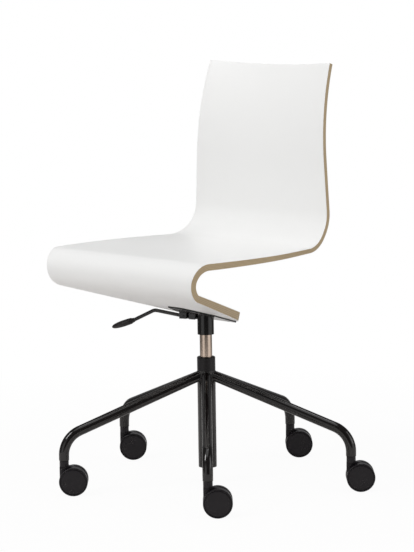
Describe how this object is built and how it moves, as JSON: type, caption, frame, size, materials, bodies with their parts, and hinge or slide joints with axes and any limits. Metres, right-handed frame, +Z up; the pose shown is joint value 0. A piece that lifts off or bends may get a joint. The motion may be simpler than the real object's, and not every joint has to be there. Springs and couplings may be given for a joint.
{
  "type": "swivel chair",
  "caption": "Armless swivel chair with a folded one-piece white plywood shell, gas lift with lever, and a black tube base on twin-wheel casters.",
  "frame": {"origin": "on the floor, on the column's axis", "axes": "+Z up, -Y the way the chair faces, +X the sitter's left"},
  "size_m": [0.684, 0.684, 0.917],
  "materials": {
    "black_paint": "semi-gloss black powder paint",
    "black_screw": "blackened steel",
    "collar_plastic": "satin black plastic",
    "caster_plastic": "fine-grained matte black plastic",
    "grip_plastic": "matte black plastic",
    "steel": "bright steel",
    "nickel_tube": "bronze-tinted nickel",
    "aluminium": "turned",
    "seal_rubber": "black rubber",
    "plywood": "clear-lacquered beech plywood edge with thin layers",
    "white_laminate": "satin white high-pressure laminate"
  },
  "bodies": {
    "base": {"column_tube": "black_paint", "guide_bush": "collar_plastic", "bottom_plate": "black_paint", "bearing_lower_race": "steel", "bearing_balls": "steel", "leg_1": "black_paint", "leg_2": "black_paint", "leg_3": "black_paint", "leg_4": "black_paint", "leg_5": "black_paint", "stem_socket_1": "caster_plastic", "stem_socket_2": "caster_plastic", "stem_socket_3": "caster_plastic", "stem_socket_4": "caster_plastic", "stem_socket_5": "caster_plastic"},
    "rod": {"bearing_upper_race": "steel", "piston_rod": "steel", "piston_head": "steel", "retaining_clip": "steel"},
    "seat": {"pressure_tube": "nickel_tube", "valve_head": "aluminium", "rod_seal": "seal_rubber", "seat_hub": "black_paint", "mounting_plate": "black_paint", "plate_screws": "black_screw", "insert_nuts": "steel", "shell_core": "plywood", "shell_front_laminate": "white_laminate", "shell_rear_laminate": "white_laminate", "lever_bracket": "black_paint", "lever_pin": "black_screw"},
    "lever": {"lever_rod": "black_paint", "lever_grip": "grip_plastic"},
    "release": {"release_pin": "steel"},
    "caster_1": {"caster_housing_1": "caster_plastic", "caster_stem_1": "steel", "caster_axle_1": "steel"},
    "caster_2": {"caster_housing_2": "caster_plastic", "caster_stem_2": "steel", "caster_axle_2": "steel"},
    "caster_3": {"caster_housing_3": "caster_plastic", "caster_stem_3": "steel", "caster_axle_3": "steel"},
    "caster_4": {"caster_housing_4": "caster_plastic", "caster_stem_4": "steel", "caster_axle_4": "steel"},
    "caster_5": {"caster_housing_5": "caster_plastic", "caster_stem_5": "steel", "caster_axle_5": "steel"},
    "wheel_1_near": {"wheel_1_near": "caster_plastic"},
    "wheel_1_far": {"wheel_1_far": "caster_plastic"},
    "wheel_2_near": {"wheel_2_near": "caster_plastic"},
    "wheel_2_far": {"wheel_2_far": "caster_plastic"},
    "wheel_3_near": {"wheel_3_near": "caster_plastic"},
    "wheel_3_far": {"wheel_3_far": "caster_plastic"},
    "wheel_4_near": {"wheel_4_near": "caster_plastic"},
    "wheel_4_far": {"wheel_4_far": "caster_plastic"},
    "wheel_5_near": {"wheel_5_near": "caster_plastic"},
    "wheel_5_far": {"wheel_5_far": "caster_plastic"}
  },
  "joints": [
    {"name": "seat_swivel", "type": "hinge", "parent": "base", "child": "rod", "pos_m": [0, 0, 0.05], "axis": [0, 0, 1], "continuous": true},
    {"name": "seat_lift", "type": "slide", "parent": "rod", "child": "seat", "axis": [0, 0, 1], "range_m": [-0.043, 0.077]},
    {"name": "lever_hinge", "type": "hinge", "parent": "seat", "child": "lever", "pos_m": [-0.04908, -0.01719, 0.36797], "axis": [-0.3305, 0.9438, 0], "range_deg": [0, 1.9], "stiffness_Nm_per_rad": 5, "springref_deg": -5.73},
    {"name": "release_press", "type": "slide", "parent": "seat", "child": "release", "axis": [0, 0, 1], "range_m": [-0.0018, 0]},
    {"name": "caster_swivel_1", "type": "hinge", "parent": "base", "child": "caster_1", "pos_m": [0.23052, -0.23052, 0.076], "axis": [0, 0, 1], "continuous": true},
    {"name": "wheel_spin_1_near", "type": "hinge", "parent": "caster_1", "child": "wheel_1_near", "pos_m": [0.24466, -0.21638, 0.031], "axis": [-0.7071, 0.7071, 0], "continuous": true},
    {"name": "wheel_spin_1_far", "type": "hinge", "parent": "caster_1", "child": "wheel_1_far", "pos_m": [0.24466, -0.21638, 0.031], "axis": [-0.7071, 0.7071, 0], "continuous": true},
    {"name": "caster_swivel_2", "type": "hinge", "parent": "base", "child": "caster_2", "pos_m": [0.29047, 0.148, 0.076], "axis": [0, 0, 1], "continuous": true},
    {"name": "wheel_spin_2_near", "type": "hinge", "parent": "caster_2", "child": "wheel_2_near", "pos_m": [0.30461, 0.16214, 0.031], "axis": [-0.7071, 0.7071, 0], "continuous": true},
    {"name": "wheel_spin_2_far", "type": "hinge", "parent": "caster_2", "child": "wheel_2_far", "pos_m": [0.30461, 0.16214, 0.031], "axis": [-0.7071, 0.7071, 0], "continuous": true},
    {"name": "caster_swivel_3", "type": "hinge", "parent": "base", "child": "caster_3", "pos_m": [-0.051, 0.32199, 0.076], "axis": [0, 0, 1], "continuous": true},
    {"name": "wheel_spin_3_near", "type": "hinge", "parent": "caster_3", "child": "wheel_3_near", "pos_m": [-0.03685, 0.33613, 0.031], "axis": [-0.7071, 0.7071, 0], "continuous": true},
    {"name": "wheel_spin_3_far", "type": "hinge", "parent": "caster_3", "child": "wheel_3_far", "pos_m": [-0.03685, 0.33613, 0.031], "axis": [-0.7071, 0.7071, 0], "continuous": true},
    {"name": "caster_swivel_4", "type": "hinge", "parent": "base", "child": "caster_4", "pos_m": [-0.32199, 0.051, 0.076], "axis": [0, 0, 1], "continuous": true},
    {"name": "wheel_spin_4_near", "type": "hinge", "parent": "caster_4", "child": "wheel_4_near", "pos_m": [-0.30784, 0.06514, 0.031], "axis": [-0.7071, 0.7071, 0], "continuous": true},
    {"name": "wheel_spin_4_far", "type": "hinge", "parent": "caster_4", "child": "wheel_4_far", "pos_m": [-0.30784, 0.06514, 0.031], "axis": [-0.7071, 0.7071, 0], "continuous": true},
    {"name": "caster_swivel_5", "type": "hinge", "parent": "base", "child": "caster_5", "pos_m": [-0.148, -0.29047, 0.076], "axis": [0, 0, 1], "continuous": true},
    {"name": "wheel_spin_5_near", "type": "hinge", "parent": "caster_5", "child": "wheel_5_near", "pos_m": [-0.13386, -0.27633, 0.031], "axis": [-0.7071, 0.7071, 0], "continuous": true},
    {"name": "wheel_spin_5_far", "type": "hinge", "parent": "caster_5", "child": "wheel_5_far", "pos_m": [-0.13386, -0.27633, 0.031], "axis": [-0.7071, 0.7071, 0], "continuous": true}
  ],
  "couplings": [
    {"joint": "release_press", "follows": "lever_hinge", "m_per_rad": -0.052}
  ]
}
